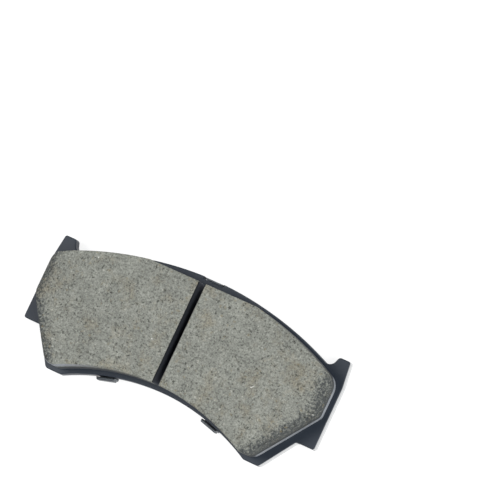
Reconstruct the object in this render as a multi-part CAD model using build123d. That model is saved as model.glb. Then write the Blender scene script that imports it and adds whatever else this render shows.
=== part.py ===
"""Disc brake pad lying on its back: steel plate, two-block friction lining, clip-on shim stack.

Frame: millimetres, +Z from the shims to the friction face, +X along the pad,
+Y away from the disc centre. Z = 0 is the back of the outer shim. The origin sits
under the middle of the plate outline.
"""
from build123d import *
import os

os.makedirs("parts", exist_ok=True)

# ---- arcs shared by plate, lining and shims -------------------------------------------
DISC_CENTRE_Y = -113.5      # every long arc is struck from the disc centre
PLATE_OUTER_R = 144.1
PLATE_INNER_R = 93.6
LINING_OUTER_R = 142.8
LINING_INNER_R = 95.5
SHIM_OUTER_R = 141.6
SHIM_INNER_R = 95.8

# ---- backing plate --------------------------------------------------------------------
PLATE_THICK = 5.0
ABUTMENT_X = 68.5           # flat ends that bear on the caliper bracket
ABUTMENT_TOP_Y = 11.9
EAR_TOP_Y = 22.8
EAR_TOP_OUTER_X = 67.1
EAR_TOP_INNER_X = 61.9
EAR_ROOT_X = 60.0
EAR_BOTTOM_Y = -15.3
HEEL_X = 60.6               # where the lower flank leaves the ear
FOOT_OUTER_X = 50.3
FOOT_Y = -30.5
EAR_ROOT_FILLET = 3.0
EAR_TOP_FILLET = 1.4
HEEL_FILLET = 1.8
FOOT_FILLET = 2.2
END_FILLET = 1.0
EDGE_ROUND = 0.5            # die roll round the front of the blanked outline
BACK_BEVEL = 0.7            # breakout taper round the back of the outline
RECESS_HALF = 4.7           # notch for the top shim tab
RECESS_FLOOR_Y = 29.5
RETENTION_HOLE_D = 9.0
RETENTION_HOLES = ((22.0, 4.0), (47.0, -3.0))

# ---- lining ---------------------------------------------------------------------------
LINING_TOP_Y = 27.1
LINING_END_X = 66.2
LINING_HEEL_Y = -2.4        # vertical end turns into the sloping flank
LINING_TOE = (46.3, -30.0)
LINING_SHOULDER_FILLET = 7.0
LINING_HEEL_FILLET = 3.0
LINING_TOE_FILLET = 5.0
SLOT_WIDTH = 3.0
BOND_THICK = 0.15
BOND_INSET = 0.3
UNDERLAYER_THICK = 2.85
LINING_HEIGHT = 12.0        # plate face to friction face
RAMP_START_X = 52.7         # shallow lead-in ramp
RAMP_END_X = 61.3
RAMP_DROP = 1.0
WALL_HEIGHT = 6.0           # upright wall left below the rounded end
END_ROUND_R = 7.0
FACE_BREAK = 0.25
PLUG_CLEARANCE = 0.02

# ---- shims ----------------------------------------------------------------------------
OUTER_SHIM_THICK = 0.6
RUBBER_THICK = 0.15
CORE_THICK = 0.5
ADHESIVE_THICK = 0.1
SHIM_TOP_Y = 27.2
SHIM_END_X = 55.0
SHIM_FLANK_TOP_Y = -8.0
SHIM_TOE = (43.5, -28.5)
SHIM_FILLET = 4.0
INNER_SHIM_INSET = 1.2
BOTTOM_TAB_ANGLES = (-15.55, 14.85)     # degrees round the disc centre, left tab first
BOTTOM_TAB_WIDTH = 8.1
BOTTOM_TAB_GAP = 0.5
HEM_GAP = 0.1               # between the two leaves of a hemmed tab
HEM_TAPER = 0.4             # each end of the hem leans in by this much
HEM_FOOT_Z = 1.6            # where the folded-back leaf stops above the floor
TOP_TAB_WIDTH = 8.4
TOP_TAB_GAP = 0.25
TAB_BEND_R = 0.5
TAB_TIP_R = 0.6
TAB_SHORT = 1.0             # tab tips stop this far below the plate face

# ---- stack levels ---------------------------------------------------------------------
RUBBER_BACK_Z = OUTER_SHIM_THICK
CORE_Z = RUBBER_BACK_Z + RUBBER_THICK
RUBBER_FRONT_Z = CORE_Z + CORE_THICK
ADHESIVE_Z = RUBBER_FRONT_Z + RUBBER_THICK
PLATE_Z = ADHESIVE_Z + ADHESIVE_THICK
PLATE_FACE_Z = PLATE_Z + PLATE_THICK
UNDERLAYER_Z = PLATE_FACE_Z + BOND_THICK
FRICTION_Z = UNDERLAYER_Z + UNDERLAYER_THICK
FRICTION_FACE_Z = PLATE_FACE_Z + LINING_HEIGHT


def arc_y(radius, x):
    """Height of a disc-centred arc above the X axis at a given x."""
    return DISC_CENTRE_Y + (radius**2 - x**2) ** 0.5


def mirrored_outline(right_side):
    """Close a list of right-hand points, top to bottom, with its mirror image."""
    left_side = [(-x, y) for x, y in reversed(right_side)]
    return make_face(Polyline(*right_side, *left_side, close=True))


def ring(outer_r, inner_r):
    """Flat ring about the disc centre."""
    return Pos(0, DISC_CENTRE_Y) * (Circle(outer_r) - Circle(inner_r))


def round_corners(face, corners):
    """Fillet the vertices near each (x, y, radius), on both sides of the Y axis."""
    for x, y, radius in corners:
        for side in (1, -1):
            near = face.vertices().sort_by_distance((side * x, y, 0))[0]
            face = fillet(near, radius)
    return face


def plate_outline():
    """Blanked outline of the backing plate."""
    body = ring(PLATE_OUTER_R, PLATE_INNER_R) & mirrored_outline(
        [
            (EAR_ROOT_X, 60.0),
            (EAR_ROOT_X, EAR_BOTTOM_Y),
            (HEEL_X, EAR_BOTTOM_Y),
            (FOOT_OUTER_X, FOOT_Y),
        ]
    )
    ear = make_face(
        Polyline(
            (EAR_TOP_INNER_X, EAR_TOP_Y),
            (EAR_TOP_OUTER_X, EAR_TOP_Y),
            (ABUTMENT_X, ABUTMENT_TOP_Y),
            (ABUTMENT_X, EAR_BOTTOM_Y),
            (EAR_ROOT_X - 5.0, EAR_BOTTOM_Y),
            (EAR_ROOT_X - 5.0, 0.0),
            (EAR_ROOT_X, arc_y(PLATE_OUTER_R, EAR_ROOT_X)),
            close=True,
        )
    )
    outline = body + ear + mirror(ear, about=Plane.YZ)
    foot_inner_x = (PLATE_INNER_R**2 - (FOOT_Y - DISC_CENTRE_Y) ** 2) ** 0.5
    return round_corners(
        outline,
        [
            (EAR_ROOT_X, arc_y(PLATE_OUTER_R, EAR_ROOT_X), EAR_ROOT_FILLET),
            (EAR_TOP_INNER_X, EAR_TOP_Y, EAR_TOP_FILLET),
            (EAR_TOP_OUTER_X, EAR_TOP_Y, END_FILLET),
            (ABUTMENT_X, EAR_BOTTOM_Y, END_FILLET),
            (HEEL_X, EAR_BOTTOM_Y, HEEL_FILLET),
            (FOOT_OUTER_X, FOOT_Y, FOOT_FILLET),
            (foot_inner_x, FOOT_Y, FOOT_FILLET),
        ],
    )


def lining_outline():
    """Footprint of the whole lining before the slot parts it."""
    flank = [
        (LINING_END_X, LINING_TOP_Y),
        (LINING_END_X, LINING_HEEL_Y),
        LINING_TOE,
        (LINING_TOE[0] - 4.0, LINING_TOE[1] - 6.0),
    ]
    outline = ring(LINING_OUTER_R, LINING_INNER_R) & mirrored_outline(flank)
    shoulder_y = arc_y(LINING_OUTER_R, LINING_END_X)
    return round_corners(
        outline,
        [
            (LINING_END_X, shoulder_y, LINING_SHOULDER_FILLET),
            (LINING_END_X, LINING_HEEL_Y, LINING_HEEL_FILLET),
            (*LINING_TOE, LINING_TOE_FILLET),
        ],
    )


def right_half(outline):
    """Keep the part of an outline to the right of the slot."""
    window = Pos(50.0 + SLOT_WIDTH / 2, 0) * Rectangle(100.0, 100.0)
    return outline & window


def slab(outline, low_z, high_z):
    """Extrude an outline between two levels."""
    return extrude(Pos(0, 0, low_z) * outline, amount=high_z - low_z, dir=(0, 0, 1))


def retention_cylinders(diameter, low_z, high_z):
    """Upright cylinders at the right-hand retention holes."""
    height = high_z - low_z
    return [
        Pos(x, y, low_z + height / 2) * Cylinder(diameter / 2, height)
        for x, y in RETENTION_HOLES
    ]


def end_relief():
    """Tool that cuts the shallow ramp and the rounded end of a block."""
    wall_z = PLATE_FACE_Z + WALL_HEIGHT
    ramp_end = (RAMP_END_X, FRICTION_FACE_Z - RAMP_DROP)
    with BuildPart() as tool:
        with BuildSketch(Plane.XZ):
            with BuildLine():
                Line((RAMP_START_X, FRICTION_FACE_Z), ramp_end)
                RadiusArc(ramp_end, (LINING_END_X, wall_z), END_ROUND_R)
                Polyline(
                    (LINING_END_X, wall_z),
                    (LINING_END_X + 4.0, wall_z),
                    (LINING_END_X + 4.0, FRICTION_FACE_Z + 4.0),
                    (RAMP_START_X, FRICTION_FACE_Z + 4.0),
                    (RAMP_START_X, FRICTION_FACE_Z),
                )
            make_face()
        extrude(amount=50.0, both=True)
    return tool.part


def shim_outline():
    """Footprint of the outer shim without its tabs."""
    flank = [
        (SHIM_END_X, SHIM_TOP_Y),
        (SHIM_END_X, SHIM_FLANK_TOP_Y),
        SHIM_TOE,
        (SHIM_TOE[0] - 4.0, SHIM_TOE[1] - 6.0),
    ]
    outline = ring(SHIM_OUTER_R, SHIM_INNER_R) & mirrored_outline(flank)
    return round_corners(
        outline,
        [
            (SHIM_END_X, arc_y(SHIM_OUTER_R, SHIM_END_X), SHIM_FILLET),
            (SHIM_END_X, SHIM_FLANK_TOP_Y, SHIM_FILLET),
            (*SHIM_TOE, SHIM_FILLET),
        ],
    )


def folded_tab(width, root_y, wall_y, outward):
    """Sheet tab running from root_y to wall_y on the back, then folded up to the plate face.

    wall_y is the tab's face next to the plate; outward is +1 or -1 along Y.
    """
    height = PLATE_FACE_Z - TAB_SHORT
    outer_y = wall_y + outward * OUTER_SHIM_THICK
    foot_depth = abs(outer_y - root_y)
    foot = Pos(0, (root_y + outer_y) / 2, OUTER_SHIM_THICK / 2) * Box(
        width, foot_depth, OUTER_SHIM_THICK
    )
    wall = Pos(0, (wall_y + outer_y) / 2, height / 2) * Box(
        width, OUTER_SHIM_THICK, height
    )
    tab = foot + wall
    bends = tab.edges().filter_by(Axis.X)
    outer_bend = bends.sort_by_distance((0, outer_y, 0))[0]
    tab = fillet(outer_bend, TAB_BEND_R)
    tips = [
        edge
        for edge in tab.edges().filter_by(Axis.Y)
        if abs(edge.center().Z - height) < 1e-6
    ]
    return fillet(tips, TAB_TIP_R)


def hemmed_tab(width, root_y, wall_y):
    """Tab folded up along -Y like a plain one, with its tip hemmed back down on the outside."""
    outward = -1
    sheet = OUTER_SHIM_THICK
    plain_tab = folded_tab(width, root_y, wall_y, outward)
    fold_r = sheet + HEM_GAP / 2
    fold_y = wall_y + outward * fold_r
    fold_z = PLATE_FACE_Z - TAB_SHORT - fold_r
    outer_y = wall_y + outward * 2 * fold_r
    tip_cut = Pos(0, fold_y, fold_z + 5.0) * Box(2 * width, 10.0, 10.0)
    fold = Pos(0, fold_y, fold_z) * Rot(0, 90, 0) * (
        Cylinder(fold_r, width) - Cylinder(HEM_GAP / 2, width)
    )
    flap_height = fold_z - HEM_FOOT_Z
    flap = Pos(0, outer_y - outward * sheet / 2, HEM_FOOT_Z + flap_height / 2) * Box(
        width, sheet, flap_height
    )
    hem = (plain_tab - tip_cut) + (fold & tip_cut) + flap
    half = width / 2
    taper = Polyline(
        (half, root_y),
        (half, wall_y),
        (half - HEM_TAPER, outer_y),
        (HEM_TAPER - half, outer_y),
        (-half, wall_y),
        (-half, root_y),
        close=True,
    )
    return hem & slab(make_face(taper), 0.0, PLATE_FACE_Z)


# ---- backing plate --------------------------------------------------------------------
plate = slab(plate_outline(), PLATE_Z, PLATE_FACE_Z)
notch_top = PLATE_OUTER_R + DISC_CENTRE_Y + 1.0
plate -= Pos(0, (RECESS_FLOOR_Y + notch_top) / 2, PLATE_Z + PLATE_THICK / 2) * Box(
    2 * RECESS_HALF, notch_top - RECESS_FLOOR_Y, PLATE_THICK + 1.0
)
for hole in retention_cylinders(RETENTION_HOLE_D, PLATE_Z - 0.5, PLATE_FACE_Z + 0.5):
    plate -= hole
    plate -= mirror(hole, about=Plane.YZ)
front_rim = plate.faces().sort_by(Axis.Z)[-1].outer_wire()
plate = fillet(front_rim.edges(), EDGE_ROUND)
back_rim = plate.faces().sort_by(Axis.Z)[0].outer_wire()
plate = chamfer(back_rim.edges(), BACK_BEVEL)
export_step(plate, "parts/backing_plate.step")

# ---- lining, right block first, then its mirror image ---------------------------------
block_outline = right_half(lining_outline())

bond = slab(offset(block_outline, amount=-BOND_INSET), PLATE_FACE_Z, UNDERLAYER_Z)
for hole in retention_cylinders(RETENTION_HOLE_D + 0.6, PLATE_FACE_Z - 0.5, UNDERLAYER_Z + 0.5):
    bond -= hole

underlayer = slab(block_outline, UNDERLAYER_Z, FRICTION_Z)
plug_d = RETENTION_HOLE_D - 2 * PLUG_CLEARANCE
for plug in retention_cylinders(plug_d, PLATE_Z, UNDERLAYER_Z):
    underlayer += plug

friction = slab(block_outline, FRICTION_Z, FRICTION_FACE_Z) - end_relief()
face_edges = friction.faces().sort_by(Axis.Z)[-1].edges()
friction = chamfer(face_edges, FACE_BREAK)

for name, right_block in (
    ("bonding_film", bond),
    ("underlayer", underlayer),
    ("friction_block", friction),
):
    export_step(right_block, f"parts/{name}_right.step")
    export_step(mirror(right_block, about=Plane.YZ), f"parts/{name}_left.step")

# ---- shim stack -----------------------------------------------------------------------
shim_face = shim_outline()
outer_shim = slab(shim_face, 0.0, OUTER_SHIM_THICK)
bottom_tab = hemmed_tab(
    BOTTOM_TAB_WIDTH, SHIM_INNER_R + 1.5, PLATE_INNER_R - BOTTOM_TAB_GAP
)
for angle in BOTTOM_TAB_ANGLES:
    outer_shim += Pos(0, DISC_CENTRE_Y) * Rot(0, 0, -angle) * bottom_tab
outer_shim += folded_tab(TOP_TAB_WIDTH, SHIM_TOP_Y - 2.0, RECESS_FLOOR_Y + TOP_TAB_GAP, 1)
export_step(outer_shim, "parts/outer_shim.step")

inner_face = offset(shim_face, amount=-INNER_SHIM_INSET)
for name, low_z, thick in (
    ("shim_rubber_back", RUBBER_BACK_Z, RUBBER_THICK),
    ("inner_shim", CORE_Z, CORE_THICK),
    ("shim_rubber_front", RUBBER_FRONT_Z, RUBBER_THICK),
    ("shim_adhesive", ADHESIVE_Z, ADHESIVE_THICK),
):
    export_step(slab(inner_face, low_z, low_z + thick), f"parts/{name}.step")
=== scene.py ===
"""Looks of a disc brake pad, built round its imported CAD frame.

Lengths are in metres unless a name ends in _mm, and every pattern is laid out in millimetres of
object space.
"""
import logging
import math
from dataclasses import dataclass, field

import bmesh
import bpy
from mathutils import Euler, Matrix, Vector, noise

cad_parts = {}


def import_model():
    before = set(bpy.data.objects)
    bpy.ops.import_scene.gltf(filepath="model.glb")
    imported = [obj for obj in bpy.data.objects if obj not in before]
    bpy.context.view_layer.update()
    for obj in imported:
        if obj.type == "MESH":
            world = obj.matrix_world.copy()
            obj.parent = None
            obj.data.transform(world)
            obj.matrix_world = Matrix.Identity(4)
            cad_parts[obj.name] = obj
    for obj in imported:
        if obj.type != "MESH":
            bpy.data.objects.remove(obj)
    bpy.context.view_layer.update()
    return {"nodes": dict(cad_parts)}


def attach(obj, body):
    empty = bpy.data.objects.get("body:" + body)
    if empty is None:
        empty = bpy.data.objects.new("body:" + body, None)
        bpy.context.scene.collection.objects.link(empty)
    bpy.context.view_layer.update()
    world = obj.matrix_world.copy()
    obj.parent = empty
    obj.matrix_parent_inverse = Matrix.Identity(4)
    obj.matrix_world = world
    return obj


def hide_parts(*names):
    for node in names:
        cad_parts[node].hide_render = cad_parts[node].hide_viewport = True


LOG = logging.getLogger("brake_pad")
BODY = "root"
MM = 0.001

Tree = bpy.types.NodeTree
Socket = bpy.types.NodeSocket
Colour = tuple[float, float, float, float]

# Mix nodes keep separate sockets for each data type: first the colour ones, then the number ones.
MIX_FACTOR, MIX_A, MIX_B, MIX_OUT = 0, 6, 7, 2
MIX_NUMBER_A, MIX_NUMBER_B = 2, 3
# Other nodes' sockets go by number too. A Map Range takes a value as 0, the range it comes from as
# 1 and 2, and the range it goes to as 3 and 4. Math nodes take their operands in order.


def linear(code: str) -> Colour:
    """Turn an sRGB hex colour into linear RGBA.

    Args:
        code: Six hex digits with a leading hash.

    Returns:
        Linear red, green, blue and an alpha of one.
    """
    channels = [int(code[i : i + 2], 16) / 255 for i in (1, 3, 5)]
    red, green, blue = (
        c / 12.92 if c <= 0.04045 else ((c + 0.055) / 1.055) ** 2.4 for c in channels
    )
    return red, green, blue, 1.0


def add_node(
    tree: Tree, kind: str, inputs: dict | None = None, **settings: object
) -> bpy.types.Node:
    """Add one shader node with its settings, values and links.

    Args:
        tree: Node tree that gets the node.
        kind: Blender's node type name.
        inputs: Socket name or index, mapped to a value or to an output socket to link.
        **settings: Properties to set on the node before its sockets are filled.

    Returns:
        The new node.
    """
    node = tree.nodes.new(kind)
    for name, value in settings.items():
        setattr(node, name, value)
    for key, value in (inputs or {}).items():
        if isinstance(value, bpy.types.NodeSocket):
            tree.links.new(value, node.inputs[key])
        else:
            node.inputs[key].default_value = value
    return node


def lay(tree: Tree, under: Socket | Colour, layers: list[tuple[Socket, str]]) -> Socket:
    """Lay coloured layers over a base, one after another.

    Args:
        tree: Node tree that the surface belongs to.
        under: Base colour, as a value or an output socket.
        layers: For each layer, where it shows, from 0 to 1, and its sRGB hex colour.

    Returns:
        The colour of the finished stack.
    """
    for where, tone in layers:
        sockets = {MIX_FACTOR: where, MIX_A: under, MIX_B: linear(tone)}
        under = add_node(tree, "ShaderNodeMix", sockets, data_type="RGBA").outputs[MIX_OUT]
    return under


@dataclass(frozen=True)
class Finish:
    """A surface finish: a named Principled material whose pattern runs in millimetres."""

    name: str

    def material(self) -> bpy.types.Material:
        """Build the material once and hand back the same one after that.

        Returns:
            The finished material.
        """
        found = bpy.data.materials.get(self.name)
        if found:
            return found
        material = bpy.data.materials.new(self.name)
        material.use_nodes = True
        tree = material.node_tree
        shader = tree.nodes["Principled BSDF"]
        place = add_node(tree, "ShaderNodeTexCoord").outputs["Object"]
        in_mm = add_node(
            tree, "ShaderNodeVectorMath", {0: place, "Scale": 1 / MM}, operation="SCALE"
        )
        self.paint(tree, shader, in_mm.outputs[0])
        return material

    def paint(self, tree: Tree, shader: bpy.types.Node, place: Socket) -> None:
        """Fill the shader's sockets.

        Args:
            tree: The material's node tree.
            shader: Its Principled BSDF.
            place: Object position in millimetres.
        """
        raise NotImplementedError


@dataclass(frozen=True)
class Grain:
    """One kind of filler grain and how it is strewn: one to a cell, in a share of the cells."""

    colour: str
    spacing_mm: float
    share: float
    # The radius is a part of the spacing; the strength is how much of the matrix the grain hides.
    radius: float
    strength: float


@dataclass(frozen=True)
class FrictionComposite(Finish):
    """Resin-bonded friction composite, hot moulded and then ground flat.

    Grinding leaves a dull, chalky grey-green face, cut into by ragged dark pores and graphite,
    with brown metal-fibre stains, a few pale mineral grains and rusty chips. The side walls get a
    dark blue-grey painted shade, darkest at their foot, and the upper inner wall at the left end
    gets painted light. The lining is also darker towards the ends and the flanks, and the slot's
    walls are coated dark, with painted shade at the rim and painted light deeper down.
    """

    name: str = "resin-bonded friction composite"
    matrix: str = "#8e9088"
    matrix_dull: str = "#80827b"
    pore: str = "#34352f"
    stain: str = "#80755d"
    # Dark tone for the walls' painted shade and for the darker ends and flanks.
    skin: str = "#33373b"
    # Painted light for the upper inner wall at the left end.
    lit_wall_tone: str = "#969a9f"
    # The slot's painted shade near its rim and painted light deeper down.
    slot_shade_rim: str = "#14161a"
    slot_light_deep: str = "#4c5058"
    grains: tuple[Grain, ...] = (
        Grain("#4a4b45", 1.25, 0.60, 0.36, 0.62),
        Grain("#33342f", 2.3, 0.42, 0.25, 0.75),
        Grain("#b6b6ab", 2.6, 0.45, 0.16, 0.70),
        Grain("#857a5e", 2.7, 0.45, 0.24, 0.45),
        Grain("#a5664f", 14.0, 0.35, 0.055, 0.80),
        Grain("#dcdcd6", 11.0, 0.40, 0.045, 0.85),
    )
    mottle_mm: float = 8.0
    stain_mm: float = 2.2
    stain_patches_per_mm: float = 0.09
    stain_most: float = 0.45
    pore_mm: float = 1.05
    pore_gathering: float = 0.16
    pore_range: tuple[float, float] = (0.655, 0.82)
    pore_most: float = 0.75
    # Grit and grooves lighten and darken the matrix between these two factors.
    grit_mm: float = 0.65
    grit_flicker: tuple[float, float] = (0.62, 1.38)
    groove_mm: float = 0.7
    groove_flicker: tuple[float, float] = (0.94, 1.06)
    groove_turn_deg: float = 38.0
    groove_stretch: float = 0.08
    # Grains are bent out of round by a finer noise, and fade over the outer part of their radius.
    grain_bend: float = 0.9
    grain_bends_per_cell: float = 2.6
    grain_core: float = 0.6
    slot_half_mm: float = 1.65
    # Heights over the floor between which the slot's painted shade turns to painted light, and the
    # outer walls' painted shade fades from the foot upwards.
    slot_shade_to_light_mm: tuple[float, float] = (18.4, 14.0)
    wall_shade_fade_mm: tuple[float, float] = (11.0, 17.5)
    wall_shade_least: float = 0.30
    # Painted light shows on the wall above this height, past this X, and where the wall faces
    # along -Y.
    lit_above_mm: float = 12.0
    lit_fade_mm: float = 2.5
    lit_past_mm: tuple[float, float] = (-24.0, -40.0)
    lit_facing: tuple[float, float] = (-0.45, -0.70)
    # The lining is darker within one distance of the end and another of the flank, both given
    # below.
    end_mm: float = 66.2
    # The flank is straight: its outward direction, and its distance from the middle.
    flank_way: tuple[float, float] = (0.811, -0.585)
    flank_mm: float = 55.1
    end_dark_mm: float = 12.0
    flank_dark_mm: float = 8.0
    dark_tone_most: float = 0.85
    end_dark_most: float = 0.75
    # Specks break the dark tone up: where it and weighted specks add up to this range, it shows.
    speck_mm: float = 1.0
    speck_weight: float = 2.0
    speck_range: tuple[float, float] = (1.32, 1.80)
    relief_mm: float = 0.06
    pore_sink: float = 1.5

    def paint(self, tree: Tree, shader: bpy.types.Node, place: Socket) -> None:
        """Lay mottling, grit, stains, pores and grains, then the painted shade and light and the
        darker ends.

        Args:
            tree: The material's node tree.
            shader: Its Principled BSDF.
            place: Object position in millimetres.
        """
        mottle, grit, grooves = (
            add_node(
                tree,
                "ShaderNodeTexNoise",
                {"Vector": where, "Scale": 1 / size, "Detail": detail, "Roughness": 0.7},
            ).outputs[0]
            for where, size, detail in (
                (place, self.mottle_mm, 3.0),
                (place, self.grit_mm, 2.0),
                (self._along_grinding(tree, place), self.groove_mm, 1.0),
            )
        )
        tone = add_node(
            tree, "ShaderNodeMapRange", {0: mottle, 1: 0.35, 2: 0.65, 3: 0.0, 4: 1.0}
        ).outputs[0]
        ground = add_node(
            tree,
            "ShaderNodeMix",
            {MIX_FACTOR: tone, MIX_A: linear(self.matrix), MIX_B: linear(self.matrix_dull)},
            data_type="RGBA",
        ).outputs[MIX_OUT]
        colour = lay(tree, ground, [(self._stained(tree, place), self.stain)])
        for pattern, (low, high) in ((grit, self.grit_flicker), (grooves, self.groove_flicker)):
            flicker = add_node(
                tree, "ShaderNodeMapRange", {0: pattern, 1: 0.30, 2: 0.70, 3: low, 4: high}
            ).outputs[0]
            colour = add_node(
                tree, "ShaderNodeVectorMath", {0: colour, "Scale": flicker}, operation="SCALE"
            ).outputs[0]
        pores = self._pores(tree, place, mottle)
        height = add_node(tree, "ShaderNodeSeparateXYZ", {0: place}).outputs[2]
        steep = self._steep(tree)
        # The dark walls are painted shade, and the pale left inner wall is painted light.
        layers = [
            (pores, self.pore),
            (self._shaded_walls_and_dark_ends(tree, place, steep, height), self.skin),
            (self._painted_light_wall(tree, place, steep, height), self.lit_wall_tone),
        ]
        layers += [(self._strewn(tree, place, grain), grain.colour) for grain in self.grains]
        # The slot's walls: painted shade near the rim, turning to painted light deeper down.
        rim, deep = self.slot_shade_to_light_mm
        depth = add_node(
            tree, "ShaderNodeMapRange", {0: height, 1: rim, 2: deep, 3: 0.0, 4: 1.0}
        ).outputs[0]
        slot_shade_and_light = lay(tree, linear(self.slot_shade_rim), [(depth, self.slot_light_deep)])
        colour = add_node(
            tree,
            "ShaderNodeMix",
            {
                MIX_FACTOR: self._in_slot(tree, place, steep),
                MIX_A: lay(tree, colour, layers),
                MIX_B: slot_shade_and_light,
            },
            data_type="RGBA",
        ).outputs[MIX_OUT]
        hollow = add_node(
            tree,
            "ShaderNodeMath",
            {0: pores, 1: -self.pore_sink, 2: grit},
            operation="MULTIPLY_ADD",
        ).outputs[0]
        relief = add_node(tree, "ShaderNodeMath", {0: hollow, 1: grooves}, operation="ADD")
        bump = add_node(
            tree,
            "ShaderNodeBump",
            {"Height": relief.outputs[0], "Distance": self.relief_mm * MM, "Strength": 0.6},
        )
        tree.links.new(colour, shader.inputs["Base Color"])
        tree.links.new(bump.outputs[0], shader.inputs["Normal"])
        shader.inputs["Roughness"].default_value = 0.88
        shader.inputs["Specular IOR Level"].default_value = 0.25

    def _along_grinding(self, tree: Tree, place: Socket) -> Socket:
        """Stretch space along the grinding wheel's marks.

        Args:
            tree: The material's node tree.
            place: Object position in millimetres.

        Returns:
            The turned and stretched position.
        """
        turn = (0.0, 0.0, math.radians(self.groove_turn_deg))
        scale = (self.groove_stretch, 1.0, 1.0)
        stretch = {"Vector": place, "Rotation": turn, "Scale": scale}
        return add_node(tree, "ShaderNodeMapping", stretch).outputs[0]

    def _stained(self, tree: Tree, place: Socket) -> Socket:
        """Find the loose patches where metal fibres have bled.

        Args:
            tree: The material's node tree.
            place: Object position in millimetres.

        Returns:
            How stained the matrix is, from 0 to 1.
        """
        fine, wide = (
            add_node(
                tree,
                "ShaderNodeTexNoise",
                {"Vector": place, "Scale": scale, "Detail": detail, "Roughness": 0.7},
            ).outputs[0]
            for scale, detail in ((1 / self.stain_mm, 4.0), (self.stain_patches_per_mm, 1.0))
        )
        both = add_node(tree, "ShaderNodeMath", {0: fine, 1: wide}, operation="ADD").outputs[0]
        return add_node(
            tree, "ShaderNodeMapRange", {0: both, 1: 1.00, 2: 1.35, 3: 0.0, 4: self.stain_most}
        ).outputs[0]

    def _pores(self, tree: Tree, place: Socket, mottle: Socket) -> Socket:
        """Place ragged pores, thicker in some patches than in others.

        Args:
            tree: The material's node tree.
            place: Object position in millimetres.
            mottle: Slow variation that gathers the pores.

        Returns:
            How much of a pore there is, from 0 to 1.
        """
        ragged = add_node(
            tree,
            "ShaderNodeTexNoise",
            {"Vector": place, "Scale": 1 / self.pore_mm, "Detail": 2.5, "Roughness": 0.6},
        ).outputs[0]
        gathered = add_node(
            tree,
            "ShaderNodeMath",
            {0: mottle, 1: self.pore_gathering, 2: ragged},
            operation="MULTIPLY_ADD",
        ).outputs[0]
        none, full = self.pore_range
        return add_node(
            tree, "ShaderNodeMapRange", {0: gathered, 1: none, 2: full, 3: 0.0, 4: self.pore_most}
        ).outputs[0]

    def _strewn(self, tree: Tree, place: Socket, grain: Grain) -> Socket:
        """Strew one kind of grain.

        Args:
            tree: The material's node tree.
            place: Object position in millimetres.
            grain: Spacing, number and size of the grains.

        Returns:
            How much of a grain there is, from 0 to its strength.
        """
        warp = add_node(
            tree,
            "ShaderNodeTexNoise",
            {
                "Vector": place,
                "Scale": self.grain_bends_per_cell / grain.spacing_mm,
                "Detail": 2.0,
            },
        ).outputs[1]
        bent = add_node(
            tree,
            "ShaderNodeVectorMath",
            {0: warp, 1: (grain.spacing_mm * self.grain_bend,) * 3, 2: place},
            operation="MULTIPLY_ADD",
        ).outputs[0]
        cells = add_node(
            tree, "ShaderNodeTexVoronoi", {"Vector": bent, "Scale": 1 / grain.spacing_mm}
        )
        chosen = add_node(
            tree,
            "ShaderNodeMath",
            {0: cells.outputs["Color"], 1: grain.share},
            operation="LESS_THAN",
        ).outputs[0]
        distance = cells.outputs["Distance"]
        core = grain.radius * self.grain_core
        rim = {1: grain.radius, 2: core, 3: 0.0, 4: grain.strength}
        spot = add_node(tree, "ShaderNodeMapRange", {0: distance, **rim}).outputs[0]
        return add_node(
            tree, "ShaderNodeMath", {0: spot, 1: chosen}, operation="MULTIPLY"
        ).outputs[0]

    def _shaded_walls_and_dark_ends(self, tree: Tree, place: Socket, steep: Socket, height: Socket) -> Socket:
        """Find painted shade on the walls, darkest at the foot, and darker zones by the ends and
        flanks.

        Args:
            tree: The material's node tree.
            place: Object position in millimetres.
            steep: How much of a wall there is, from 0 to 1.
            height: Height over the floor, in millimetres.

        Returns:
            How much dark tone there is, from 0 to 1, broken up by lighter specks.
        """
        mirrored = add_node(
            tree, "ShaderNodeVectorMath", {0: place}, operation="ABSOLUTE"
        ).outputs[0]
        across = add_node(tree, "ShaderNodeSeparateXYZ", {0: mirrored}).outputs[0]
        along = add_node(tree, "ShaderNodeSeparateXYZ", {0: place}).outputs[1]
        side, slope = self.flank_way
        level = add_node(
            tree,
            "ShaderNodeMath",
            {0: along, 1: slope, 2: -self.flank_mm},
            operation="MULTIPLY_ADD",
        ).outputs[0]
        past_flank = add_node(
            tree, "ShaderNodeMath", {0: across, 1: side, 2: level}, operation="MULTIPLY_ADD"
        ).outputs[0]
        reach = [
            add_node(
                tree,
                "ShaderNodeMapRange",
                {0: distance, 1: edge - fade, 2: edge, 3: 0.0, 4: self.end_dark_most},
                interpolation_type="SMOOTHSTEP",
            ).outputs[0]
            for distance, edge, fade in (
                (across, self.end_mm, self.end_dark_mm),
                (past_flank, 0.0, self.flank_dark_mm),
            )
        ]
        # Painted shade on the walls: darkest at the foot, fading upwards.
        foot, rim = self.wall_shade_fade_mm
        foot_shade = add_node(
            tree, "ShaderNodeMapRange", {0: height, 1: foot, 2: rim, 3: 1.0, 4: self.wall_shade_least}
        ).outputs[0]
        most = add_node(
            tree, "ShaderNodeMath", {0: steep, 1: foot_shade}, operation="MULTIPLY"
        ).outputs[0]
        for amount in reach:
            most = add_node(
                tree, "ShaderNodeMath", {0: most, 1: amount}, operation="MAXIMUM"
            ).outputs[0]
        specks = add_node(
            tree,
            "ShaderNodeTexNoise",
            {"Vector": place, "Scale": 1 / self.speck_mm, "Detail": 3.0, "Roughness": 0.7},
        ).outputs[0]
        broken = add_node(
            tree,
            "ShaderNodeMath",
            {0: specks, 1: self.speck_weight, 2: most},
            operation="MULTIPLY_ADD",
        ).outputs[0]
        none, full = self.speck_range
        return add_node(
            tree, "ShaderNodeMapRange", {0: broken, 1: none, 2: full, 3: 0.0, 4: self.dark_tone_most}
        ).outputs[0]

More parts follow.
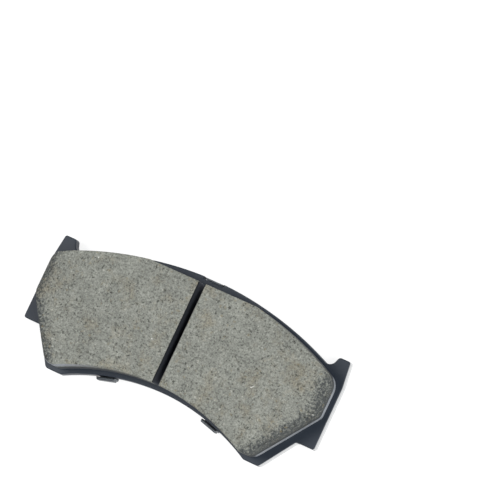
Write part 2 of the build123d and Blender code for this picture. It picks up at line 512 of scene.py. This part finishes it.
    def _painted_light_wall(self, tree: Tree, place: Socket, steep: Socket, height: Socket) -> Socket:
        """Find the upper inner wall at the left end, which gets painted light.

        Args:
            tree: The material's node tree.
            place: Object position in millimetres.
            steep: How much of a wall there is, from 0 to 1.
            height: Height over the floor, in millimetres.

        Returns:
            How much painted light the wall gets, from 0 to 1.
        """
        across = add_node(tree, "ShaderNodeSeparateXYZ", {0: place}).outputs[0]
        facing = add_node(tree, "ShaderNodeNewGeometry").outputs["True Normal"]
        inwards = add_node(tree, "ShaderNodeSeparateXYZ", {0: facing}).outputs[1]
        foot = self.lit_above_mm
        pale = steep
        for value, (none, full) in (
            (across, self.lit_past_mm),
            (height, (foot, foot + self.lit_fade_mm)),
            (inwards, self.lit_facing),
        ):
            here = add_node(
                tree, "ShaderNodeMapRange", {0: value, 1: none, 2: full, 3: 0.0, 4: 1.0}
            ).outputs[0]
            pale = add_node(
                tree, "ShaderNodeMath", {0: pale, 1: here}, operation="MULTIPLY"
            ).outputs[0]
        return pale

    def _steep(self, tree: Tree) -> Socket:
        """Find the walls that grinding never reached.

        Args:
            tree: The material's node tree.

        Returns:
            How much of a wall there is, from 0 to 1.
        """
        facing = add_node(tree, "ShaderNodeNewGeometry").outputs["True Normal"]
        upward = add_node(tree, "ShaderNodeSeparateXYZ", {0: facing}).outputs[2]
        return add_node(
            tree,
            "ShaderNodeMapRange",
            {0: upward, 1: 0.93, 2: 0.35, 3: 0.0, 4: 1.0},
            interpolation_type="SMOOTHSTEP",
        ).outputs[0]

    def _in_slot(self, tree: Tree, place: Socket, steep: Socket) -> Socket:
        """Find the slot's walls, coated dark, with painted shade at the rim and painted light
        deeper down.

        Args:
            tree: The material's node tree.
            place: Object position in millimetres.
            steep: How much of a wall there is, from 0 to 1.

        Returns:
            How much of the slot's colour there is, from 0 to 1.
        """
        across = add_node(tree, "ShaderNodeSeparateXYZ", {0: place}).outputs[0]
        middle = add_node(tree, "ShaderNodeMath", {0: across}, operation="ABSOLUTE").outputs[0]
        inside = add_node(
            tree, "ShaderNodeMath", {0: middle, 1: self.slot_half_mm}, operation="LESS_THAN"
        ).outputs[0]
        walls = add_node(
            tree, "ShaderNodeMapRange", {0: steep, 1: 0.1, 2: 0.5, 3: 0.0, 4: 1.0}
        ).outputs[0]
        return add_node(
            tree, "ShaderNodeMath", {0: inside, 1: walls}, operation="MULTIPLY"
        ).outputs[0]


@dataclass(frozen=True)
class MouldedSkin(Finish):
    """Mineral-filled underlayer with its moulded skin, even and a little smoother than the lining.

    It stays pale at the two ends, and painted shade darkens it where its walls face along the
    arcs.
    """

    name: str = "mineral-filled underlayer"
    skin: str = "#9fa3a8"
    stained: str = "#8a8f95"
    # Painted shade on the walls that face along the arcs.
    arc_shade: str = "#343940"
    cloud_mm: float = 4.0
    grain_mm: float = 0.6

    def paint(self, tree: Tree, shader: bpy.types.Node, place: Socket) -> None:
        """Cloud the skin, darken it with painted shade along the arcs and give it a fine moulded
        grain.

        Args:
            tree: The material's node tree.
            shader: Its Principled BSDF.
            place: Object position in millimetres.
        """
        cloud, grain = (
            add_node(
                tree, "ShaderNodeTexNoise", {"Vector": place, "Scale": 1 / size, "Detail": 4.0}
            ).outputs[0]
            for size in (self.cloud_mm, self.grain_mm)
        )
        tone = add_node(
            tree, "ShaderNodeMapRange", {0: cloud, 1: 0.40, 2: 0.70, 3: 0.0, 4: 1.0}
        ).outputs[0]
        pale = add_node(
            tree,
            "ShaderNodeMix",
            {MIX_FACTOR: tone, MIX_A: linear(self.skin), MIX_B: linear(self.stained)},
            data_type="RGBA",
        ).outputs[MIX_OUT]
        facing = add_node(tree, "ShaderNodeNewGeometry").outputs["True Normal"]
        outwards = add_node(
            tree, "ShaderNodeVectorMath", {0: facing}, operation="ABSOLUTE"
        ).outputs[0]
        endways = add_node(tree, "ShaderNodeSeparateXYZ", {0: outwards}).outputs[0]
        # Walls facing along the arcs rather than the ends get painted shade.
        arc_shade_amount = add_node(
            tree,
            "ShaderNodeMapRange",
            {0: endways, 1: 0.80, 2: 0.50, 3: 0.0, 4: 0.95},
            interpolation_type="SMOOTHSTEP",
        ).outputs[0]
        bump = add_node(
            tree,
            "ShaderNodeBump",
            {"Height": grain, "Distance": 0.03 * MM, "Strength": 0.5},
        )
        tree.links.new(lay(tree, pale, [(arc_shade_amount, self.arc_shade)]), shader.inputs["Base Color"])
        tree.links.new(bump.outputs[0], shader.inputs["Normal"])
        shader.inputs["Roughness"].default_value = 0.6


@dataclass(frozen=True)
class CoatedPlate(Finish):
    """Polyester powder coat, baked over blanked steel and ground off the bearing ends.

    The coat flows into a satin, faintly pebbled blue-black skin that thins towards sharp edges,
    where the lighter edge is also a painted highlight along the rims.
    The ends and flanks are bare: a smooth burnished band where the punch entered, then rougher
    torn metal, which scatters more light and looks paler.
    """

    name: str = "powder-coated blanked steel"
    coat: str = "#252c35"
    coat_light: str = "#303843"
    # Lighter thin coat at the edges, partly a painted highlight along the rims.
    thin_edge_and_highlight: str = "#555b62"
    burnished: str = "#c4c5c6"
    torn: str = "#dcdddd"
    pebble_mm: float = 0.9
    cloud_mm: float = 14.0
    tear_mm: float = 0.45
    edge_mm: float = 0.35
    burnish_above_mm: float = 4.8
    burnish_fade_mm: float = 0.4
    # Only the ends and flanks past this distance from the middle are bare.
    bare_past_mm: tuple[float, float] = (46.0, 48.0)

    def paint(self, tree: Tree, shader: bpy.types.Node, place: Socket) -> None:
        """Cloud and pebble the coat, thin and lighten it along edges, partly as painted highlight,
        and leave the ends and flanks bare.

        Args:
            tree: The material's node tree.
            shader: Its Principled BSDF.
            place: Object position in millimetres.
        """
        upright = add_node(
            tree, "ShaderNodeMapping", {"Vector": place, "Scale": (1.0, 1.0, 0.12)}
        ).outputs[0]
        cloud, pebble, tears = (
            add_node(
                tree,
                "ShaderNodeTexNoise",
                {"Vector": where, "Scale": 1 / size, "Detail": detail, "Roughness": 0.6},
            ).outputs[0]
            for where, size, detail in (
                (place, self.cloud_mm, 5.0),
                (place, self.pebble_mm, 1.0),
                (upright, self.tear_mm, 2.0),
            )
        )
        coat = lay(tree, linear(self.coat), [(cloud, self.coat_light)])
        coat = lay(tree, coat, [(self._thin_edge_and_highlight(tree, place), self.thin_edge_and_highlight)])
        height = add_node(tree, "ShaderNodeSeparateXYZ", {0: place}).outputs[2]
        ragged = add_node(
            tree, "ShaderNodeMath", {0: tears, 1: 1.2, 2: height}, operation="MULTIPLY_ADD"
        ).outputs[0]
        start = self.burnish_above_mm
        full = start + self.burnish_fade_mm
        burnish = add_node(
            tree, "ShaderNodeMapRange", {0: ragged, 1: start, 2: full, 3: 0.0, 4: 1.0}
        ).outputs[0]
        steel = lay(tree, linear(self.torn), [(burnish, self.burnished)])
        bare = self._bare(tree, place)
        colour = add_node(
            tree,
            "ShaderNodeMix",
            {MIX_FACTOR: bare, MIX_A: coat, MIX_B: steel},
            data_type="RGBA",
        ).outputs[MIX_OUT]
        satin, sheared = (
            add_node(
                tree, "ShaderNodeMapRange", {0: pattern, 1: 0.3, 2: 0.7, 3: low, 4: high}
            ).outputs[0]
            for pattern, low, high in ((cloud, 0.42, 0.54), (burnish, 0.42, 0.30))
        )
        gloss, relief = (
            add_node(
                tree, "ShaderNodeMix", {MIX_FACTOR: bare, MIX_NUMBER_A: coated, MIX_NUMBER_B: cut}
            ).outputs[0]
            for coated, cut in ((satin, sheared), (pebble, tears))
        )
        bump = add_node(
            tree,
            "ShaderNodeBump",
            {"Height": relief, "Distance": 0.02 * MM, "Strength": 0.45},
        ).outputs[0]
        tree.links.new(colour, shader.inputs["Base Color"])
        tree.links.new(bare, shader.inputs["Metallic"])
        tree.links.new(gloss, shader.inputs["Roughness"])
        tree.links.new(bump, shader.inputs["Normal"])
        shader.inputs["Specular IOR Level"].default_value = 0.35

    def _thin_edge_and_highlight(self, tree: Tree, place: Socket) -> Socket:
        """Find the edges where the coat runs thin, lighter partly as a painted highlight.

        Args:
            tree: The material's node tree.
            place: Object position in millimetres.

        Returns:
            How thin the coat is, and how much painted highlight there is, from 0 to 1.
        """
        rounded = add_node(
            tree, "ShaderNodeBevel", {"Radius": self.edge_mm * MM}, samples=4
        ).outputs[0]
        flat = add_node(tree, "ShaderNodeNewGeometry").outputs["Normal"]
        agreement = add_node(
            tree, "ShaderNodeVectorMath", {0: rounded, 1: flat}, operation="DOT_PRODUCT"
        ).outputs["Value"]
        edge = add_node(
            tree, "ShaderNodeMapRange", {0: agreement, 1: 0.985, 2: 0.90, 3: 0.0, 4: 1.0}
        ).outputs[0]
        patchy = add_node(
            tree, "ShaderNodeTexNoise", {"Vector": place, "Scale": 0.8, "Detail": 3.0}
        ).outputs[0]
        return add_node(
            tree, "ShaderNodeMath", {0: edge, 1: patchy}, operation="MULTIPLY"
        ).outputs[0]

    def _bare(self, tree: Tree, place: Socket) -> Socket:
        """Find the ends and flanks: far out, upright, turned well along X and facing outwards.

        Args:
            tree: The material's node tree.
            place: Object position in millimetres.

        Returns:
            1 on bare steel and 0 under the coat.
        """
        facing = add_node(tree, "ShaderNodeNewGeometry").outputs["True Normal"]
        upward = add_node(tree, "ShaderNodeSeparateXYZ", {0: facing}).outputs[2]
        outwards = add_node(
            tree, "ShaderNodeVectorMath", {0: place, 1: facing}, operation="DOT_PRODUCT"
        ).outputs["Value"]
        mirrored, turned = (
            add_node(tree, "ShaderNodeVectorMath", {0: way}, operation="ABSOLUTE").outputs[0]
            for way in (place, facing)
        )
        across, endways = (
            add_node(tree, "ShaderNodeSeparateXYZ", {0: way}).outputs[0]
            for way in (mirrored, turned)
        )
        far, at_end = self.bare_past_mm
        bare = add_node(
            tree, "ShaderNodeMapRange", {0: across, 1: far, 2: at_end, 3: 0.0, 4: 1.0}
        ).outputs[0]
        for value, none, full in (
            (endways, 0.40, 0.50),
            (upward, 0.66, 0.46),
            (outwards, -8.0, -4.0),
        ):
            here = add_node(
                tree, "ShaderNodeMapRange", {0: value, 1: none, 2: full, 3: 0.0, 4: 1.0}
            ).outputs[0]
            bare = add_node(
                tree, "ShaderNodeMath", {0: bare, 1: here}, operation="MULTIPLY"
            ).outputs[0]
        return bare


@dataclass(frozen=True)
class RolledSteel(Finish):
    """Cold-rolled sheet under a dull conversion coat, with faint streaks along its rolling."""

    name: str = "cold-rolled sheet steel"
    sheet: str = "#686d72"
    streak: str = "#44484c"
    streak_mm: float = 0.5
    blotch_mm: float = 8.3
    stretch: float = 0.02
    roughness: float = 0.46
    roughness_swing: float = 0.07
    # The conversion coat hides about half of the metal's own reflection.
    metal: float = 0.5

    def paint(self, tree: Tree, shader: bpy.types.Node, place: Socket) -> None:
        """Draw rolling streaks in colour and roughness.

        Args:
            tree: The material's node tree.
            shader: Its Principled BSDF.
            place: Object position in millimetres.
        """
        along = add_node(
            tree, "ShaderNodeMapping", {"Vector": place, "Scale": (self.stretch, 1.0, 1.0)}
        ).outputs[0]
        streaks, blotch = (
            add_node(
                tree, "ShaderNodeTexNoise", {"Vector": where, "Scale": 1 / size, "Detail": 3.5}
            ).outputs[0]
            for where, size in ((along, self.streak_mm), (place, self.blotch_mm))
        )
        blend = add_node(
            tree, "ShaderNodeMath", {0: streaks, 1: blotch}, operation="MULTIPLY"
        ).outputs[0]
        low, high = self.roughness - self.roughness_swing, self.roughness + self.roughness_swing
        tone, gloss = (
            add_node(tree, "ShaderNodeMapRange", {0: pattern, **limits}).outputs[0]
            for pattern, limits in (
                (blend, {1: 0.12, 2: 0.40, 3: 0.0, 4: 1.0}),
                (streaks, {1: 0.3, 2: 0.7, 3: low, 4: high}),
            )
        )
        bump = add_node(
            tree,
            "ShaderNodeBump",
            {"Height": streaks, "Distance": 0.006 * MM, "Strength": 0.5},
        )
        sheet = lay(tree, linear(self.streak), [(tone, self.sheet)])
        tree.links.new(sheet, shader.inputs["Base Color"])
        tree.links.new(gloss, shader.inputs["Roughness"])
        tree.links.new(bump.outputs[0], shader.inputs["Normal"])
        shader.inputs["Metallic"].default_value = self.metal


@dataclass(frozen=True)
class CuredFilm(Finish):
    """Thin resin or rubber film: one dark tone with a slight cloud and a fine calendered grain."""

    name: str
    tone: str
    cloudy: str
    roughness: float = 0.7
    cloud_mm: float = 2.5
    grain_mm: float = 0.4

    def paint(self, tree: Tree, shader: bpy.types.Node, place: Socket) -> None:
        """Cloud the film and grain it.

        Args:
            tree: The material's node tree.
            shader: Its Principled BSDF.
            place: Object position in millimetres.
        """
        cloud, grain = (
            add_node(
                tree, "ShaderNodeTexNoise", {"Vector": place, "Scale": 1 / size, "Detail": 3.0}
            ).outputs[0]
            for size in (self.cloud_mm, self.grain_mm)
        )
        bump = add_node(
            tree,
            "ShaderNodeBump",
            {"Height": grain, "Distance": 0.01 * MM, "Strength": 0.5},
        )
        film = lay(tree, linear(self.tone), [(cloud, self.cloudy)])
        tree.links.new(film, shader.inputs["Base Color"])
        tree.links.new(bump.outputs[0], shader.inputs["Normal"])
        shader.inputs["Roughness"].default_value = self.roughness


def dress(piece: bpy.types.Object, finish: Finish) -> None:
    """Put one finish on a whole piece.

    Args:
        piece: Mesh object to dress.
        finish: Finish it gets.
    """
    material = finish.material()
    if not piece.data.materials:
        piece.data.materials.append(material)
    for slot in piece.material_slots:
        slot.material = material
    LOG.info("%s dressed in %s", piece.name, finish.name)


@dataclass
class FrictionLining:
    """The two ground lining blocks, with pitted faces and slightly crumbled edges."""

    nodes: tuple[str, ...] = ("friction_block_left", "friction_block_right")
    grain_mm: float = 0.36
    soft_edge_passes: int = 14
    soft_edge_mm: float = 2.2
    soft_depth_mm: float = 3.0
    pit_depth_mm: float = 0.10
    pit_spacing_mm: float = 1.3
    # Fine roughness runs at this part of the pits' spacing and of their depth.
    fine_spacing: float = 0.45
    fine_depth: float = 0.35
    chip_depth_mm: float = 0.22
    chip_spacing_mm: float = 2.4
    # Noise past these levels makes a pit or a chip. It runs from about -1 to 1.
    pit_level: float = 0.12
    chip_level: float = -0.15
    # Chips gather where the rounded rim's normal has this upward part, and fade either side of it.
    rim_upward: float = 0.6
    rim_spread: float = 0.35
    # Faces that point further down than this lie on the underlayer and stay flat.
    underside: float = -0.3
    finish: FrictionComposite = field(default_factory=FrictionComposite)

    def build(self, cad: dict[str, bpy.types.Object]) -> None:
        """Make one weathered block for each CAD block.

        Args:
            cad: CAD node objects by name.
        """
        for node in self.nodes:
            self._weather(cad[node], node)

    def _weather(self, source: bpy.types.Object, node: str) -> None:
        """Copy a block as an even fine mesh, then pit its face and chip its edges.

        Args:
            source: The block's CAD object.
            node: Its name.
        """
        shape = bmesh.new()
        shape.from_mesh(source.data)
        bmesh.ops.remove_doubles(shape, verts=shape.verts, dist=0.002 * MM)
        mesh = bpy.data.meshes.new(node + "_ground")
        shape.to_mesh(mesh)
        shape.free()
        piece = bpy.data.objects.new(node + "_ground", mesh)
        bpy.context.scene.collection.objects.link(piece)
        even = piece.modifiers.new("even grain", "REMESH")
        even.mode = "VOXEL"
        even.voxel_size = self.grain_mm * MM
        even.adaptivity = 0.0
        depsgraph = bpy.context.evaluated_depsgraph_get()
        fine = bpy.data.meshes.new_from_object(piece.evaluated_get(depsgraph))
        piece.modifiers.clear()
        piece.data = fine
        bpy.data.meshes.remove(mesh)
        self._wear(piece, source)
        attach(piece, BODY)
        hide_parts(node)
        dress(piece, self.finish)
        LOG.info("%s: %d faces", piece.name, len(fine.polygons))

    def _wear(self, piece: bpy.types.Object, source: bpy.types.Object) -> None:
        """Rub the end and flank edges round, then sink pits and crumble the rims, always inwards.

        Args:
            piece: The block's even mesh.
            source: The block's CAD object.
        """
        foot_z = min(v.co.z for v in source.data.vertices)
        top_z = max(v.co.z for v in source.data.vertices)
        shape = bmesh.new()
        shape.from_mesh(piece.data)
        side, slope = self.finish.flank_way
        soft_z = top_z - self.soft_depth_mm * MM
        edge = (self.finish.flank_mm - self.soft_edge_mm) * MM
        rubbed = [
            vert
            for vert in shape.verts
            if vert.co.z > soft_z and side * abs(vert.co.x) + slope * vert.co.y > edge
        ]
        for _ in range(self.soft_edge_passes):
            bmesh.ops.smooth_vert(
                shape, verts=rubbed, factor=0.5, use_axis_x=True, use_axis_y=True, use_axis_z=True
            )
        shape.normal_update()
        for vert in shape.verts:
            up = vert.normal.z
            if up < self.underside or vert.co.z < foot_z + 2 * self.grain_mm * MM:
                continue
            at = vert.co / MM
            pit = max(0.0, noise.noise(at / self.pit_spacing_mm) - self.pit_level)
            fine = abs(noise.noise(at / (self.fine_spacing * self.pit_spacing_mm)))
            on_rim = max(0.0, 1.0 - abs(up - self.rim_upward) / self.rim_spread)
            chip = on_rim * max(0.0, noise.noise(at / self.chip_spacing_mm) - self.chip_level)
            depth = self.pit_depth_mm * (pit + self.fine_depth * fine) + self.chip_depth_mm * chip
            vert.co -= vert.normal * depth * MM
        shape.to_mesh(piece.data)
        shape.free()
        piece.data.shade_smooth()


@dataclass
class BackingPlate:
    """The coated steel plate that carries the lining."""

    node: str = "backing_plate"
    finish: Finish = field(default_factory=CoatedPlate)

    def build(self, cad: dict[str, bpy.types.Object]) -> None:
        """Dress the CAD plate.

        Args:
            cad: CAD node objects by name.
        """
        dress(cad[self.node], self.finish)


@dataclass
class BondLine:
    """What lies between the plate and the lining: adhesive film and pale underlayer."""

    films: tuple[str, ...] = ("bonding_film_left", "bonding_film_right")
    layers: tuple[str, ...] = ("underlayer_left", "underlayer_right")
    film_finish: Finish = field(
        default_factory=lambda: CuredFilm("cured phenolic adhesive", "#23201d", "#332e29", 0.45)
    )
    layer_finish: Finish = field(default_factory=MouldedSkin)

    def build(self, cad: dict[str, bpy.types.Object]) -> None:
        """Dress the films and the underlayers.

        Args:
            cad: CAD node objects by name.
        """
        for node in self.films:
            dress(cad[node], self.film_finish)
        for node in self.layers:
            dress(cad[node], self.layer_finish)


@dataclass
class ShimStack:
    """Damping shim, its rubber facings and adhesive, and the clip-on outer shim."""

    steel: Finish = field(default_factory=RolledSteel)
    core: Finish = field(
        default_factory=lambda: RolledSteel(
            "bright cold-rolled steel", "#9a9da1", "#85898d", metal=0.9
        )
    )
    rubber: Finish = field(
        default_factory=lambda: CuredFilm("nitrile rubber facing", "#1c1d1f", "#27282a", 0.8)
    )
    adhesive: Finish = field(
        default_factory=lambda: CuredFilm(
            "acrylic pressure-sensitive film", "#3a382f", "#4a473b", 0.35
        )
    )

    def build(self, cad: dict[str, bpy.types.Object]) -> None:
        """Dress each layer of the stack.

        Args:
            cad: CAD node objects by name.
        """
        dress(cad["outer_shim"], self.steel)
        dress(cad["inner_shim"], self.core)
        dress(cad["shim_rubber_front"], self.rubber)
        dress(cad["shim_rubber_back"], self.rubber)
        dress(cad["shim_adhesive"], self.adhesive)


@dataclass(frozen=True)
class SoftBox:
    """One rectangular area light aimed at the pad."""

    name: str
    direction: tuple[float, float, float]
    distance: float
    width: float
    height: float
    watts: float
    tint: str = "#ffffff"

    def build(self, target: Vector) -> None:
        """Hang the light.

        Args:
            target: Point it faces.
        """
        data = bpy.data.lights.new(self.name, "AREA")
        data.shape = "RECTANGLE"
        data.size = self.width
        data.size_y = self.height
        data.energy = self.watts
        data.color = linear(self.tint)[:3]
        lamp = bpy.data.objects.new(self.name, data)
        towards = Vector(self.direction).normalized()
        lamp.location = target + towards * self.distance
        lamp.rotation_euler = towards.to_track_quat("Z", "Y").to_euler()
        bpy.context.scene.collection.objects.link(lamp)
        LOG.info("light %s", self.name)


@dataclass
class Studio:
    """Pale floor, soft light and the camera."""

    floor_size: float = 6.0
    # The floor gives off some light of its own, so that shadows on it stay faint.
    floor_colour: str = "#8a8a8a"
    floor_glow: float = 0.84
    sky_colour: str = "#f6f9ff"
    sky_strength: float = 0.22
    camera_at: tuple[float, float, float] = (0.38994, -0.04087, 1.15157)
    camera_turn_deg: tuple[float, float, float] = (11.751, 14.850, 25.998)
    lens_mm: float = 213.42
    sensor_mm: float = 36.0
    lights: tuple[SoftBox, ...] = (
        SoftBox("key", (0.70, -0.03, 0.71), 1.5, 0.9, 0.9, 17.5),
        SoftBox("left_fill", (-0.56, -0.08, 0.82), 1.5, 0.8, 0.8, 12.5),
        SoftBox("back_strip", (-0.30, 0.90, 0.25), 1.1, 0.9, 0.12, 1.2),
        SoftBox("right_strip", (0.80, 0.52, 0.30), 1.1, 0.5, 0.06, 0.6),
    )

    def build(self) -> None:
        """Set out floor, lights, sky and camera."""
        scene = bpy.context.scene
        scene.view_settings.view_transform = "Standard"
        self._floor()
        for light in self.lights:
            light.build(Vector((0.0, 0.0, 0.01)))
        world = bpy.data.worlds.new("studio")
        world.use_nodes = True
        sky = world.node_tree.nodes["Background"]
        sky.inputs["Color"].default_value = linear(self.sky_colour)
        sky.inputs["Strength"].default_value = self.sky_strength
        scene.world = world
        data = bpy.data.cameras.new("view")
        data.lens = self.lens_mm
        data.sensor_width = self.sensor_mm
        data.clip_end = 20.0
        camera = bpy.data.objects.new("view", data)
        camera.location = self.camera_at
        camera.rotation_euler = Euler([math.radians(a) for a in self.camera_turn_deg])
        scene.collection.objects.link(camera)
        scene.camera = camera

    def _floor(self) -> None:
        """Lay the pale floor level with the shim's back face."""
        shape = bmesh.new()
        bmesh.ops.create_grid(shape, x_segments=1, y_segments=1, size=self.floor_size / 2)
        mesh = bpy.data.meshes.new("floor")
        shape.to_mesh(mesh)
        shape.free()
        floor = bpy.data.objects.new("floor", mesh)
        bpy.context.scene.collection.objects.link(floor)
        paper = bpy.data.materials.new("matt paper")
        paper.use_nodes = True
        shader = paper.node_tree.nodes["Principled BSDF"]
        shader.inputs["Base Color"].default_value = linear(self.floor_colour)
        shader.inputs["Roughness"].default_value = 0.9
        shader.inputs["Specular IOR Level"].default_value = 0.1
        shader.inputs["Emission Color"].default_value = linear("#ffffff")
        shader.inputs["Emission Strength"].default_value = self.floor_glow
        mesh.materials.append(paper)


def main() -> None:
    """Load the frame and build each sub-assembly in order."""
    logging.basicConfig(level=logging.INFO, format="%(name)s: %(message)s")
    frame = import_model()
    cad = frame["nodes"]
    BackingPlate().build(cad)
    BondLine().build(cad)
    FrictionLining().build(cad)
    ShimStack().build(cad)
    Studio().build()


if __name__ == "__main__":
    main()
